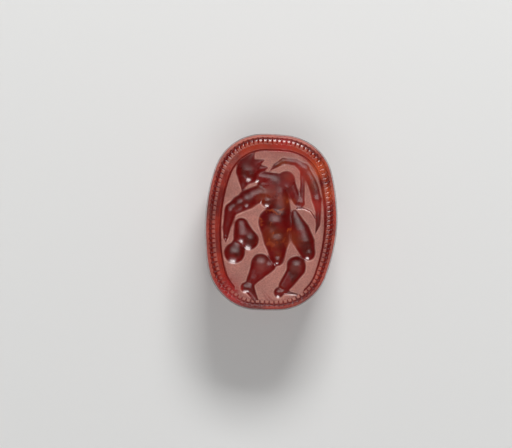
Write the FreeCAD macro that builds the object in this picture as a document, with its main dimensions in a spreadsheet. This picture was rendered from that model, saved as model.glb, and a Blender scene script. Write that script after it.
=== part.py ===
# Carnelian scarab: a pierced stone seal, in millimetres.
# The origin is the middle of the string bore. +Z comes out of the engraved sealing face,
# +Y points to the beetle's head, and the beetle's back hangs below, towards -Z.
# The one stone is divided where its carver divided it: the engraved base, the pierced
# underbody, six legs, two wing cases, the thorax, the head and the toothed head shield.
import FreeCAD, Part
import math
import os
import Sketcher

Vector = FreeCAD.Vector
Rotation = FreeCAD.Rotation
Placement = FreeCAD.Placement

QUARTER = math.pi / 2
FULL_TURN = 360
WINGLET_TURN = 120

# Driving sizes in millimetres.
SIZES = {
    # Engraved base.
    "seal_length": 15.0,
    "seal_width": 11.2,
    "seal_thickness": 2.4,
    "wall_lean": 0.12,
    "face_bevel": 0.15,
    "base_bevel": 0.14,
    # Border: a line crossed by short strokes, like a rope, and a fine line inside it.
    "rope_inset": 0.36,
    "rope_width": 0.5,
    "rope_line_width": 0.3,
    "rope_depth": 0.09,
    "rope_pitch": 0.4,
    "rope_stroke_radius": 0.11,
    "rope_tip_radius": 0.06,
    "line_inset": 1.08,
    "line_width": 0.16,
    "line_depth": 0.09,
    "line_shift_x": 0.16,
    "line_shift_y": 0.2,
    "line_gap": 5.8,
    "cut_overrun": 0.3,
    # Underbody and legs.
    "leg_depth": 2.4,
    "body_inset": 0.95,
    "leg_inset": 0.28,
    "bore_diameter": 1.4,
    # Beetle's back.
    "back_height": 4.2,
    "back_inset": 0.1,
    "crest_corner": 0.3,
    "crest_shift": 0.4,
    "thorax_length": 2.5,
    "suture_width": 0.2,
    "suture_depth": 0.14,
    "winglet_place": 2.6,
    "winglet_reach": 4.0,
    # Head and head shield.
    "head_length": 1.5,
    "head_height": 2.9,
    "head_inset": 0.9,
    "head_width": 5.6,
    "brow_width": 4.4,
    "shield_margin": 1.3,
    "shield_reach": 1.0,
    "shield_width": 4.0,
    "shield_thickness": 0.8,
    "shield_notch": 0.32,
    "eye_radius": 0.55,
}

doc = FreeCAD.newDocument("carnelian_scarab")
sheet = doc.addObject("Spreadsheet::Sheet", "Sizes")
for row, (size_name, size_value) in enumerate(SIZES.items(), 1):
    sheet.set(f"A{row}", size_name)
    sheet.set(f"B{row}", str(size_value))
    sheet.setAlias(f"B{row}", size_name)
doc.recompute()


def size(name):
    """One driving size, read from the sheet."""
    return float(sheet.get(name))


half_length = size("seal_length") / 2
half_width = size("seal_width") / 2
face_height = size("leg_depth") / 2 + size("seal_thickness")


def span(*terms):
    """The sum of some shares of named sizes, as a number and as an expression."""
    value = sum(share * size(name) for share, name in terms)
    return value, " + ".join(f"{share} * Sizes.{name}" for share, name in terms) or "0"


# The oval outline, shared by every level of the stone: eight tangent arcs, flatter at the
# ends and sides than at the corners.
END_RADIUS_SHARE = (1.7, "seal_width")
SIDE_RADIUS_SHARE = (0.987, "seal_length")
CORNER_RADIUS_SHARE = (0.393, "seal_width")
end_radius, end_radius_term = span(END_RADIUS_SHARE)
side_radius, side_radius_term = span(SIDE_RADIUS_SHARE)
corner_radius, corner_radius_term = span(CORNER_RADIUS_SHARE)


def corner_centre(shortening):
    """Centre of the corner arc that runs tangent into the end arc and the side arc."""
    end_centre = Vector(0, half_length - shortening - end_radius, 0)
    side_centre = Vector(half_width - side_radius, 0, 0)
    end_reach = end_radius - corner_radius
    side_reach = side_radius - corner_radius
    between = side_centre - end_centre
    along = (end_reach**2 - side_reach**2 + between.Length**2) / (2 * between.Length)
    across = math.sqrt(end_reach**2 - along**2)
    unit = Vector(between).normalize()
    return end_centre + unit * along + Vector(unit.y, -unit.x, 0) * across


def oval_arcs(inset, shortening=0):
    """Centre, radius, start and end angle of the eight arcs, anticlockwise from the right side.

    The oval is drawn in evenly by the inset, and each half of its length loses the shortening.
    """
    side_offset = half_width - side_radius
    end_offset = half_length - shortening - end_radius
    corner = corner_centre(shortening)
    end_angle = math.atan2(corner.x, corner.y - end_offset)
    side_angle = math.atan2(corner.y, corner.x - side_offset)
    side_reach = side_radius - inset
    end_reach = end_radius - inset
    corner_reach = corner_radius - inset
    arcs = []
    for facing, start in ((1, 0), (-1, 2 * QUARTER)):
        upright = start + QUARTER
        first = Vector(corner.x * facing, corner.y * facing, 0)
        second = Vector(-corner.x * facing, corner.y * facing, 0)
        arcs += [
            (Vector(side_offset * facing, 0, 0), side_reach, start - side_angle, start + side_angle),
            (first, corner_reach, start + side_angle, upright - end_angle),
            (Vector(0, end_offset * facing, 0), end_reach, upright - end_angle, upright + end_angle),
            (second, corner_reach, upright + end_angle, start + 2 * QUARTER - side_angle),
        ]
    return arcs


def origin_plane(body, role):
    """One of a body's own origin planes."""
    return next(item for item in body.Origin.OriginFeatures if item.Role == role)


def new_sketch(body, name, role="XY_Plane", height="0"):
    """A sketch on an origin plane of its own body, raised by an expression."""
    sketch = body.newObject("Sketcher::SketchObject", name)
    sketch.AttachmentSupport = (origin_plane(body, role), "")
    sketch.MapMode = "FlatFace"
    sketch.setExpression("AttachmentOffset.Base.z", height)
    return sketch


def add_constraints(sketch, fixed, sized):
    """Constraints added together, so that they are solved once; the sized ones follow the sheet."""
    first = sketch.ConstraintCount + len(fixed)
    constraints = [Sketcher.Constraint(*places) for places in fixed]
    constraints += [Sketcher.Constraint(*places, value) for places, value, _ in sized]
    sketch.addConstraint(constraints)
    for index, (_, _, expression) in enumerate(sized, first):
        sketch.setExpression(f"Constraints[{index}]", expression)


def add_oval(sketch, inset, shortening=(0, "0")):
    """The eight tangent arcs of the outline; the inset and shortening are spans."""
    for centre, radius, start, end in oval_arcs(inset[0], shortening[0]):
        circle = Part.Circle(centre, Vector(0, 0, 1), radius)
        sketch.addGeometry(Part.ArcOfCircle(circle, start, end), False)
    fixed = [("Tangent", index, 2, (index + 1) % 8, 1) for index in range(8)]
    fixed += [("PointOnObject", index, 3, axis) for index, axis in ((0, -1), (4, -1), (2, -2), (6, -2))]
    fixed += [("Equal", index, other) for index, other in ((1, 3), (1, 5), (1, 7), (2, 6), (0, 4))]
    side = f"{side_radius_term} - Sizes.seal_width / 2"
    end = f"{end_radius_term} - Sizes.seal_length / 2 + {shortening[1]}"
    side_value = side_radius - half_width
    end_value = end_radius - half_length + shortening[0]
    sized = [
        (("Radius", 0), side_radius - inset[0], f"{side_radius_term} - ({inset[1]})"),
        (("Radius", 1), corner_radius - inset[0], f"{corner_radius_term} - ({inset[1]})"),
        (("Radius", 2), end_radius - inset[0], f"{end_radius_term} - ({inset[1]})"),
    ]
    sized += [
        (("DistanceX", 0, 3, -1, 1), side_value, side),
        (("DistanceX", -1, 1, 4, 3), side_value, side),
        (("DistanceY", 2, 3, -1, 1), end_value, end),
        (("DistanceY", -1, 1, 6, 3), end_value, end),
    ]
    add_constraints(sketch, fixed, sized)


def add_polygon(sketch, corners):
    """A closed polygon whose corners are pairs of spans along the sketch's own axes."""
    places = [Vector(across[0], up[0], 0) for across, up in corners]
    count = len(corners)
    for index in range(count):
        sketch.addGeometry(Part.LineSegment(places[index], places[(index + 1) % count]), False)
    fixed = [("Coincident", index, 2, (index + 1) % count, 1) for index in range(count)]
    sized = []
    for index, (across, up) in enumerate(corners):
        sized.append((("DistanceX", -1, 1, index, 1), *across))
        sized.append((("DistanceY", -1, 1, index, 1), *up))
    add_constraints(sketch, fixed, sized)


def pad(body, sketch, length, downward=False):
    """A pad of a sketch whose length is an expression."""
    feature = body.newObject("PartDesign::Pad", f"{sketch.Name}_pad")
    feature.Profile = sketch
    feature.Reversed = downward
    feature.setExpression("Length", length)
    return feature


def oval_block(name, inset_names, bottom, height):
    """A body that is one straight block with the outline drawn in by the sum of some sizes."""
    body = doc.addObject("PartDesign::Body", name)
    sketch = new_sketch(body, f"{name}_outline", height=bottom)
    add_oval(sketch, span(*((1, item) for item in inset_names)))
    pad(body, sketch, height)
    return body


def join(kind, name, pieces):
    """A boolean of several objects."""
    result = doc.addObject(f"Part::{kind}", name)
    if kind in ("MultiFuse", "MultiCommon"):
        result.Shapes = pieces
    else:
        result.Base, result.Tool = pieces
    return result


def oval_loft(name, sections, ruled):
    """A body lofted through ovals: each section's inset, shortening, height and shift."""
    body = doc.addObject("PartDesign::Body", name)
    sketches = []
    for index, (inset, shortening, height, shift) in enumerate(sections):
        sketch = new_sketch(body, f"{name}_section_{index}", height=height)
        sketch.setExpression("AttachmentOffset.Base.y", shift)
        add_oval(sketch, inset, shortening)
        sketches.append(sketch)
    loft = body.newObject("PartDesign::AdditiveLoft", f"{name}_loft")
    loft.Profile = sketches[0]
    loft.Sections = sketches[1:]
    loft.Ruled = ruled
    return body


# Engraved base: a thick oval plate whose wall leans in a little towards the sealing face.
BASE_FOOT = "Sizes.leg_depth / 2"
FACE = f"{BASE_FOOT} + Sizes.seal_thickness"
seal_blank = oval_loft("seal_blank", [
    (span((1, "base_bevel")), span(), BASE_FOOT, "0"),
    (span(), span(), f"{BASE_FOOT} + Sizes.base_bevel", "0"),
    (span((1, "wall_lean")), span(), f"{FACE} - Sizes.face_bevel", "0"),
    (span((1, "wall_lean"), (1, "face_bevel")), span(), FACE, "0"),
], ruled=True)


def ring_cutter(name, inset_name, width_name, depth_name):
    """A ring that sinks a band of the given width and depth into the sealing face."""
    floor = f"{FACE} - Sizes.{depth_name}"
    height = f"Sizes.{depth_name} + Sizes.cut_overrun"
    outside = oval_block(f"{name}_outside", [inset_name], floor, height)
    inside = oval_block(f"{name}_inside", [inset_name, width_name], floor, height)
    return join("Cut", name, [outside, inside])


rope_line = ring_cutter("rope_line", "rope_inset", "rope_line_width", "rope_depth")
line_ring = ring_cutter("line_ring", "line_inset", "line_width", "line_depth")

# The fine line stops at the figure's feet.
line_opening = doc.addObject("Part::Box", "line_opening")
line_opening.setExpression("Length", "Sizes.line_gap")
line_opening.setExpression("Width", "Sizes.seal_length / 2")
line_opening.setExpression("Height", "Sizes.seal_thickness")
line_opening.setExpression("Placement.Base.x", "-Sizes.line_gap / 2")
line_opening.setExpression("Placement.Base.y", "-Sizes.seal_length / 2")
line_opening.setExpression("Placement.Base.z", f"{BASE_FOOT} + Sizes.seal_thickness / 2")
inner_line = join("Cut", "inner_line", [line_ring, line_opening])
inner_line.setExpression("Placement.Base.x", "Sizes.line_shift_x")
inner_line.setExpression("Placement.Base.y", "-Sizes.line_shift_y")


# The engraving was ground with round-ended drills. Each stroke is a ball, or a ball drawn
# along, whose middle stands above the face so that only its underside cuts.


def drill_centre(x, y, radius, depth_share):
    """Centre and radius of the ball whose cut has the given radius at the face."""
    ball = radius * (1 + depth_share**2) / (2 * depth_share)
    above = radius * (1 - depth_share**2) / (2 * depth_share)
    return Vector(x, y, face_height + above), ball


def drill_stroke(start, end, depth_share):
    """A ball drawn from one place to another, as a turned solid with its seam on top."""
    first, first_ball = drill_centre(*start, depth_share)
    last, last_ball = drill_centre(*end, depth_share)
    run = last - first
    slant = math.asin((first_ball - last_ball) / run.Length) if run.Length > 0 else 0
    lean = QUARTER - slant
    near = Part.Circle(Vector(0, 0, 0), Vector(0, 0, 1), first_ball)
    far = Part.Circle(Vector(run.Length, 0, 0), Vector(0, 0, 1), last_ball)
    edges = [Part.ArcOfCircle(near, lean, 2 * QUARTER).toShape()]
    if run.Length > 0:
        edges.append(Part.makeLine(near.value(lean), far.value(lean)))
        edges.append(Part.ArcOfCircle(far, 0, lean).toShape())
    else:
        edges.append(Part.ArcOfCircle(near, 0, lean).toShape())
    edges.append(Part.makeLine(Vector(-first_ball, 0, 0), Vector(run.Length + last_ball, 0, 0)))
    profile = Part.Face(Part.Wire(Part.__sortEdges__(edges)))
    solid = profile.revolve(Vector(0, 0, 0), Vector(1, 0, 0), FULL_TURN)
    along = run if run.Length > 0 else Vector(1, 0, 0)
    side = Vector(0, 0, 1).cross(along)
    turn = Rotation(along, side.cross(along) * -1, side * -1, "XYZ")
    solid.Placement = Placement(first, turn)
    return solid


def face_place(x_share, y_share, radius_share):
    """A place and a radius on the sealing face, from shares of its half width and half length."""
    return x_share * half_width, y_share * half_length, radius_share * half_width


# Strokes of the figure, a nude man striding to the left. Each line gives a depth share,
# then the places the drill passed: shares of the half width across, of the half length
# up, and of the half width for the radius of the cut.
FIGURE_SHARES = {
    "head": [
        (0.30, (-0.375, 0.57, 0.20)),
        (0.42, (-0.345, 0.52, 0.125)),
        (0.34, (-0.42, 0.62, 0.13), (-0.30, 0.78, 0.02)),
        (0.34, (-0.27, 0.655, 0.075), (-0.145, 0.70, 0.015)),
        (0.30, (-0.26, 0.59, 0.10), (-0.10, 0.615, 0.025)),
    ],
    "beard": [
        (0.32, (-0.43, 0.47, 0.105), (-0.455, 0.355, 0.02)),
    ],
    "neck and shoulders": [
        (0.28, (-0.22, 0.51, 0.10), (0.04, 0.485, 0.115)),
        (0.26, (-0.14, 0.42, 0.095), (0.09, 0.44, 0.15)),
        (0.28, (0.20, 0.49, 0.145)),
    ],
    "trunk": [
        (0.28, (-0.12, 0.32, 0.10), (0.09, 0.335, 0.17), (0.125, 0.12, 0.185)),
        (0.32, (-0.065, 0.24, 0.11), (0.02, 0.265, 0.10)),
        (0.34, (0.06, 0.0, 0.26)),
        (0.30, (0.075, -0.05, 0.24), (0.10, -0.195, 0.205)),
    ],
    "right arm": [
        (0.30, (-0.19, 0.32, 0.14), (-0.36, 0.255, 0.155)),
        (0.36, (-0.37, 0.245, 0.155)),
        (0.34, (-0.38, 0.235, 0.15), (-0.61, 0.125, 0.115)),
        (0.37, (-0.48, 0.20, 0.13)),
        (0.38, (-0.62, 0.09, 0.105), (-0.665, -0.08, 0.075), (-0.672, -0.19, 0.045)),
        (0.38, (-0.672, -0.19, 0.045), (-0.665, -0.25, 0.012)),
    ],
    "left arm": [
        (0.25, (0.23, 0.48, 0.115), (0.385, 0.255, 0.075)),
        (0.24, (0.43, 0.23, 0.078)),
        (0.26, (0.455, 0.24, 0.055), (0.455, 0.44, 0.045), (0.43, 0.57, 0.03)),
    ],
    "held fruit": [
        (0.34, (-0.445, -0.04, 0.115), (-0.42, -0.16, 0.15)),
        (0.28, (-0.42, -0.07, 0.115), (-0.33, -0.19, 0.145)),
        (0.26, (-0.31, -0.215, 0.155)),
        (0.24, (-0.46, -0.17, 0.09), (-0.50, -0.30, 0.10)),
        (0.27, (-0.525, -0.365, 0.17)),
    ],
    "front leg": [
        (0.34, (0.10, -0.195, 0.205), (0.125, -0.40, 0.12)),
        (0.50, (0.13, -0.425, 0.10)),
        (0.30, (-0.12, -0.47, 0.16)),
        (0.28, (-0.17, -0.52, 0.12), (-0.265, -0.70, 0.08)),
        (0.32, (0.015, -0.49, 0.108), (-0.21, -0.655, 0.08)),
        (0.30, (-0.33, -0.745, 0.09)),
        (0.36, (-0.27, -0.75, 0.085), (-0.15, -0.875, 0.025)),
        (0.60, (-0.30, -0.81, 0.018), (-0.18, -0.90, 0.015)),
    ],
    "rear leg": [
        (0.30, (0.355, 0.12, 0.058), (0.465, -0.08, 0.15), (0.52, -0.20, 0.17), (0.58, -0.32, 0.125)),
        (0.26, (0.35, 0.07, 0.06), (0.40, -0.08, 0.11), (0.44, -0.17, 0.13)),
        (0.34, (0.595, -0.335, 0.115)),
        (0.32, (0.42, -0.48, 0.16)),
        (0.36, (0.35, -0.54, 0.09), (0.225, -0.71, 0.07)),
        (0.34, (0.46, -0.52, 0.115), (0.27, -0.74, 0.075)),
        (0.30, (0.175, -0.79, 0.09)),
        (0.45, (0.235, -0.78, 0.05), (0.45, -0.80, 0.018)),
    ],
    "cloak": [
        (0.25, (-0.05, 0.585, 0.012), (0.035, 0.645, 0.045), (0.15, 0.70, 0.055)),
        (0.19, (0.15, 0.70, 0.055), (0.34, 0.69, 0.065), (0.47, 0.625, 0.08)),
        (0.22, (0.47, 0.625, 0.08), (0.575, 0.50, 0.085), (0.64, 0.39, 0.085), (0.68, 0.28, 0.082)),
        (0.30, (0.68, 0.28, 0.082), (0.712, 0.15, 0.055), (0.716, 0.0, 0.045), (0.685, -0.10, 0.012)),
        (0.60, (0.385, 0.17, 0.016), (0.50, 0.175, 0.016), (0.60, 0.145, 0.016), (0.67, 0.07, 0.014)),
    ],
}

figure_strokes = []
for strokes in FIGURE_SHARES.values():
    for depth_share, *stations in strokes:
        places = [face_place(*station) for station in stations]
        if len(places) == 1:
            figure_strokes.append(drill_stroke(places[0], places[0], depth_share))
        for start, end in zip(places, places[1:]):
            figure_strokes.append(drill_stroke(start, end, depth_share))

# Rope border: short strokes across the outer line, evenly spaced round the oval.
ROPE_DEPTH_SHARE = 0.8
ROPE_MARGIN_SHARE = 0.8


def oval_walk(inset, pitch):
    """Points round the inset oval with their outward directions, about one pitch apart."""
    arcs = oval_arcs(inset)
    around = sum(radius * (end - start) for _, radius, start, end in arcs)
    count = round(around / pitch)
    for index in range(count):
        distance = around * index / count
        for centre, radius, start, end in arcs:
            sweep = radius * (end - start)
            if distance <= sweep:
                angle = start + distance / radius
                outward = Vector(math.cos(angle), math.sin(angle), 0)
                yield centre + outward * radius, outward
                break
            distance -= sweep


rope_strokes = []
for place, outward in oval_walk(size("rope_inset") + size("rope_width") / 2, size("rope_pitch")):
    reach = outward * (size("rope_width") / 2)
    outer = place + reach * ROPE_MARGIN_SHARE
    inner = place - reach * ROPE_MARGIN_SHARE
    start = (outer.x, outer.y, size("rope_stroke_radius"))
    end = (inner.x, inner.y, size("rope_tip_radius"))
    rope_strokes.append(drill_stroke(start, end, ROPE_DEPTH_SHARE))


def below_face(strokes):
    """The parts of the strokes that reach into the plate, which are all that cuts."""
    low_corner = Vector(-half_width, -half_length, face_height - size("seal_thickness"))
    depth = size("seal_thickness") + size("cut_overrun")
    plate = Part.makeBox(size("seal_width"), size("seal_length"), depth, low_corner)
    return [stroke.common(plate) for stroke in strokes]


doc.recompute()
engraved = seal_blank.Shape
for stroke in below_face(figure_strokes):
    engraved = engraved.cut(stroke)
figured_blank = doc.addObject("Part::Feature", "figured_blank")
figured_blank.Shape = engraved
rope = doc.addObject("Part::Feature", "rope")
rope.Shape = Part.makeCompound(below_face(rope_strokes))
roped_blank = join("Cut", "roped_blank", [figured_blank, rope])
lined_blank = join("Cut", "lined_blank", [roped_blank, rope_line])
seal_base = join("Cut", "seal_base", [lined_blank, inner_line])


# Underbody: the pierced middle of the stone, set in from the base all round.

SHOULDER = f"-{BASE_FOOT}"
underbody_block = oval_block("underbody_block", ["body_inset"], SHOULDER, "Sizes.leg_depth")
string_bore = doc.addObject("Part::Cylinder", "string_bore")
string_bore.setExpression("Radius", "Sizes.bore_diameter / 2")
string_bore.setExpression("Height", "Sizes.seal_length")
string_bore.Placement.Rotation = Rotation(Vector(1, 0, 0), -FULL_TURN / 4)
string_bore.setExpression("Placement.Base.y", "-Sizes.seal_length / 2")
underbody = join("Cut", "underbody", [underbody_block, string_bore])


# Legs: three on each side in relief on the underbody, between the base and the back.
# Corners are shares of the length and of the legs' depth, with +0.5 at the base.
LEG_OUTLINE_SHARES = {
    "front_leg": [
        (0.19, -0.5), (0.29, -0.5), (0.37, 0.0), (0.34, 0.5),
        (0.18, 0.5), (0.18, 0.28), (0.25, 0.28), (0.275, 0.02),
    ],
    "middle_leg": [
        (-0.02, -0.5), (0.08, -0.5), (0.15, 0.0), (0.1, 0.5),
        (-0.06, 0.5), (-0.06, 0.28), (0.02, 0.28), (0.05, 0.02),
    ],
    "hind_leg": [
        (-0.26, -0.5), (-0.15, -0.5), (-0.09, 0.0), (-0.17, 0.5),
        (-0.36, 0.5), (-0.36, 0.28), (-0.23, 0.28), (-0.19, 0.02),
    ],
}

leg_ring_outside = oval_block("leg_ring_outside", ["leg_inset"], SHOULDER, "Sizes.leg_depth")
leg_ring_inside = oval_block("leg_ring_inside", ["body_inset"], SHOULDER, "Sizes.leg_depth")
leg_ring = join("Cut", "leg_ring", [leg_ring_outside, leg_ring_inside])


def leg(name, outline_share, side):
    """One leg: its bent outline seen from the side, cut from the ring round the underbody."""
    body = doc.addObject("PartDesign::Body", f"{name}_prism")
    sketch = new_sketch(body, f"{name}_outline", "YZ_Plane")
    corners = [(span((along, "seal_length")), span((up, "leg_depth"))) for along, up in outline_share]
    add_polygon(sketch, corners)
    pad(body, sketch, "Sizes.seal_width / 2", downward=side < 0)
    return join("Common", name, [leg_ring, body])


legs = []
for leg_name, leg_outline in LEG_OUTLINE_SHARES.items():
    legs.append(leg(f"{leg_name}_left", leg_outline, -1))
    legs.append(leg(f"{leg_name}_right", leg_outline, 1))


# Back: a dome through oval sections, round in profile, that ends in a small worn flat.
DOME_SECTIONS = 6
CREST_SHORTENING_SHARE = 0.12


def dome(name, inset_names, height_names):
    """A dome below the legs, its sections spaced evenly round a quarter turn.

    The inset at its rim is the sum of some sizes, and its height the first size less the rest.
    The flat at its crest has corners of the crest's own radius.
    """
    height = " - ".join(f"Sizes.{item}" for item in height_names)
    corner_share, corner_size = CORNER_RADIUS_SHARE
    sections = []
    for index in range(DOME_SECTIONS + 1):
        angle = QUARTER * index / DOME_SECTIONS
        drop_share = math.sin(angle)
        draw_share = 1 - math.cos(angle)
        rim = [(1 - draw_share, item) for item in inset_names]
        sections.append((
            span(*rim, (draw_share * corner_share, corner_size), (-draw_share, "crest_corner")),
            span((draw_share * CREST_SHORTENING_SHARE, "seal_length")),
            f"{SHOULDER} - {drop_share} * ({height})",
            f"-{draw_share} * Sizes.crest_shift",
        ))
    return oval_loft(name, sections, ruled=False)


back_dome = dome("back_dome", ["back_inset"], ["back_height"])
head_dome = dome("head_dome", ["head_inset"], ["head_height"])


def block(name, low, high):
    """A box between two corners, each three expressions."""
    box = doc.addObject("Part::Box", name)
    for axis, side, start, end in zip("xyz", ("Length", "Width", "Height"), low, high):
        box.setExpression(side, f"({end}) - ({start})")
        box.setExpression(f"Placement.Base.{axis}", start)
    return box


LEFT = "-Sizes.seal_width"
RIGHT = "Sizes.seal_width"
TAIL = "-Sizes.seal_length"
BELOW = f"{SHOULDER} - 2 * Sizes.back_height"
HALF_LINE = "Sizes.suture_width / 2"

# Places of the beetle's parts along the stone, counted back from the front end of the base.
SHIELD_PLACE = ((0.5, "seal_length"), (-1, "shield_margin"))
HEAD_PLACE = (*SHIELD_PLACE, (-1, "head_length"))
THORAX_PLACE = (*HEAD_PLACE, (-1, "thorax_length"))
SHIELD_LINE = span(*SHIELD_PLACE)[1]
HEAD_LINE = span(*HEAD_PLACE)[1]
THORAX_LINE = span(*THORAX_PLACE)[1]

# Lines cut into the back: between the wing cases, behind and before the thorax, and a short
# slanting line at each shoulder. Their floor follows the dome.
suture = block("suture", (f"-{HALF_LINE}", TAIL, BELOW), (HALF_LINE, THORAX_LINE, SHOULDER))
carved_lines = [suture]
for line_name, line_place in (("thorax_line", THORAX_LINE), ("head_line", HEAD_LINE)):
    low = (LEFT, f"{line_place} - {HALF_LINE}", BELOW)
    high = (RIGHT, f"{line_place} + {HALF_LINE}", SHOULDER)
    carved_lines.append(block(line_name, low, high))
for side_name, facing in (("left", 1), ("right", -1)):
    low = (f"-{HALF_LINE}", "0", BELOW)
    high = (HALF_LINE, "Sizes.winglet_reach", SHOULDER)
    winglet = block(f"winglet_{side_name}", low, high)
    winglet.setExpression("Placement.Base.x", f"-{facing} * Sizes.winglet_place")
    winglet.setExpression("Placement.Base.y", THORAX_LINE)
    winglet.Placement.Rotation = Rotation(Vector(0, 0, 1), facing * WINGLET_TURN)
    carved_lines.append(winglet)
line_slabs = join("MultiFuse", "line_slabs", carved_lines)
line_floor = dome("line_floor", ["back_inset", "suture_depth"], ["back_height", "suture_depth"])
back_lines = join("Cut", "back_lines", [line_slabs, line_floor])
carved_back = join("Cut", "carved_back", [back_dome, back_lines])


def back_piece(name, low, high):
    """One zone of the carved back, between two places in plan."""
    zone = block(f"{name}_zone", (*low, BELOW), (*high, SHOULDER))
    return join("Common", name, [carved_back, zone])


wing_case_left = back_piece("wing_case_left", (LEFT, TAIL), ("0", THORAX_LINE))
wing_case_right = back_piece("wing_case_right", ("0", TAIL), (RIGHT, THORAX_LINE))
thorax = back_piece("thorax", (LEFT, THORAX_LINE), (RIGHT, HEAD_LINE))

# Head: a lower dome in front of the thorax, narrowing forwards, with a round eye each side.
head_plan = doc.addObject("PartDesign::Body", "head_plan")
head_outline = new_sketch(head_plan, "head_outline", height=SHOULDER)
add_polygon(head_outline, [
    (span((-0.5, "head_width")), span(*HEAD_PLACE)),
    (span((0.5, "head_width")), span(*HEAD_PLACE)),
    (span((0.5, "brow_width")), span(*SHIELD_PLACE)),
    (span((-0.5, "brow_width")), span(*SHIELD_PLACE)),
])
pad(head_plan, head_outline, "Sizes.back_height", downward=True)
brow = join("Common", "brow", [head_dome, head_plan])
eyes = []
for side_name, facing in (("left", -1), ("right", 1)):
    eye = doc.addObject("Part::Sphere", f"eye_{side_name}")
    eye.setExpression("Radius", "Sizes.eye_radius")
    eye.setExpression("Placement.Base.x", f"{facing} * (Sizes.head_width + Sizes.brow_width) / 4")
    eye.setExpression("Placement.Base.y", f"{HEAD_LINE} + Sizes.head_length / 2")
    eye.setExpression("Placement.Base.z", f"{SHOULDER} - Sizes.eye_radius")
    eyes.append(eye)
head = join("MultiFuse", "head", [brow, *eyes])

# Head shield: a thin plate in front of the head. Its front edge is drawn back towards the
# sides, with notches that leave four teeth.
SHIELD_TEETH = 4
SHIELD_ROUND_SHARE = 0.45
head_shield = doc.addObject("PartDesign::Body", "head_shield")
shield_outline = new_sketch(head_shield, "shield_outline", height=SHOULDER)
shield_corners = [
    (span((-0.5, "shield_width")), span(*SHIELD_PLACE)),
    (span((0.5, "shield_width")), span(*SHIELD_PLACE)),
]
for index in range(2 * SHIELD_TEETH + 1):
    across_share = 0.5 - index / (2 * SHIELD_TEETH)
    reach_share = 1 - SHIELD_ROUND_SHARE * (2 * across_share) ** 2
    place = [*SHIELD_PLACE, (reach_share, "shield_reach")]
    if index % 2 == 0:
        place.append((-1, "shield_notch"))
    shield_corners.append((span((across_share, "shield_width")), span(*place)))
add_polygon(shield_outline, shield_corners)
pad(head_shield, shield_outline, "Sizes.shield_thickness", downward=True)

sub_parts = [seal_base, underbody, *legs, wing_case_left, wing_case_right, thorax, head, head_shield]
doc.recompute()
for item in doc.Objects:
    if "Invalid" in item.State or "Error" in item.State:
        raise RuntimeError(f"{item.Name} failed: {item.State}")
for item in sub_parts:
    if item.Shape.isNull() or not item.Shape.isValid():
        raise RuntimeError(f"{item.Name} has no valid shape")
os.makedirs("parts", exist_ok=True)
for item in sub_parts:
    item.Label = item.Name
    item.Shape.exportStep(f"parts/{item.Label}.step")
    box = item.Shape.BoundBox
    print(item.Label, len(item.Shape.Solids), round(item.Shape.Volume, 3), box)
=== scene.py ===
import math

import bmesh
import bpy
import numpy as np
from mathutils import Matrix, Vector


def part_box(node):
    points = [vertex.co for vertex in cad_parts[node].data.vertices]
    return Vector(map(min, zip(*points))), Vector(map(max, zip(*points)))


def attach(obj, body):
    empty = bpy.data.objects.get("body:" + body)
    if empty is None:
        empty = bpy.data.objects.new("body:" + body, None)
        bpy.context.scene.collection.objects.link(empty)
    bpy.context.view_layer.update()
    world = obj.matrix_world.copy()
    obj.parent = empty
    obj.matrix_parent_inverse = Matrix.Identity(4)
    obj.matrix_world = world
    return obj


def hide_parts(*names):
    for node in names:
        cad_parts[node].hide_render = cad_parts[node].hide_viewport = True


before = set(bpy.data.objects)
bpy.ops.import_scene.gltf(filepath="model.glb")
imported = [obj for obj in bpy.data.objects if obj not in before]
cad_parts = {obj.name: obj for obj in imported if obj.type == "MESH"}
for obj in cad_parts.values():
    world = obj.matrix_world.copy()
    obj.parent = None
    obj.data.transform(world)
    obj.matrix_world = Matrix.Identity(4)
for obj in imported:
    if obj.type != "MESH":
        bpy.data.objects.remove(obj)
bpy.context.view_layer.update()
scene = bpy.context.scene

# Sealing base: the thick oval plate that carries the engraving, ground from the one piece of
# carnelian. Its face is flat and worn matt, its wall leans in a little, and its edges are
# rounded by handling. Lengths in this script are in millimetres until a piece is finished.
MM = 0.001
base_low, base_high = (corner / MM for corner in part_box("seal_base"))
half_width = base_high.x
half_length = base_high.y
face_height = base_high.z
base_foot = base_low.z
END_SHARE = 1.7
SIDE_SHARE = 0.987
CORNER_SHARE = 0.393
END_RADIUS = END_SHARE * 2 * half_width
SIDE_RADIUS = SIDE_SHARE * 2 * half_length
CORNER_RADIUS = CORNER_SHARE * 2 * half_width
WALL_LEAN = 0.12
FACE_BEVEL = 0.15
BASE_BEVEL = 0.14


def oval_centres(shortening):
    """Centres of the side, corner and end arcs of the outline's first quarter."""
    side = np.array((half_width - SIDE_RADIUS, 0.0))
    end = np.array((0.0, half_length - shortening - END_RADIUS))
    side_reach = SIDE_RADIUS - CORNER_RADIUS
    end_reach = END_RADIUS - CORNER_RADIUS
    between = side - end
    distance = np.linalg.norm(between)
    along = (end_reach**2 - side_reach**2 + distance**2) / (2 * distance)
    across = math.sqrt(end_reach**2 - along**2)
    unit = between / distance
    corner = end + unit * along + np.array((unit[1], -unit[0])) * across
    return side, corner, end


def oval_inset(x, y):
    """How far inside the outline each point lies."""
    side, corner, end = oval_centres(0.0)
    x, y = np.abs(x), np.abs(y)
    on_side = np.arctan2(y, x - side[0]) < math.atan2(corner[1], corner[0] - side[0])
    on_end = np.arctan2(x, y - end[1]) < math.atan2(corner[0], corner[1] - end[1])
    from_side = SIDE_RADIUS - np.hypot(x - side[0], y)
    from_end = END_RADIUS - np.hypot(x, y - end[1])
    from_corner = CORNER_RADIUS - np.hypot(x - corner[0], y - corner[1])
    return np.where(on_side, from_side, np.where(on_end, from_end, from_corner))


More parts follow.
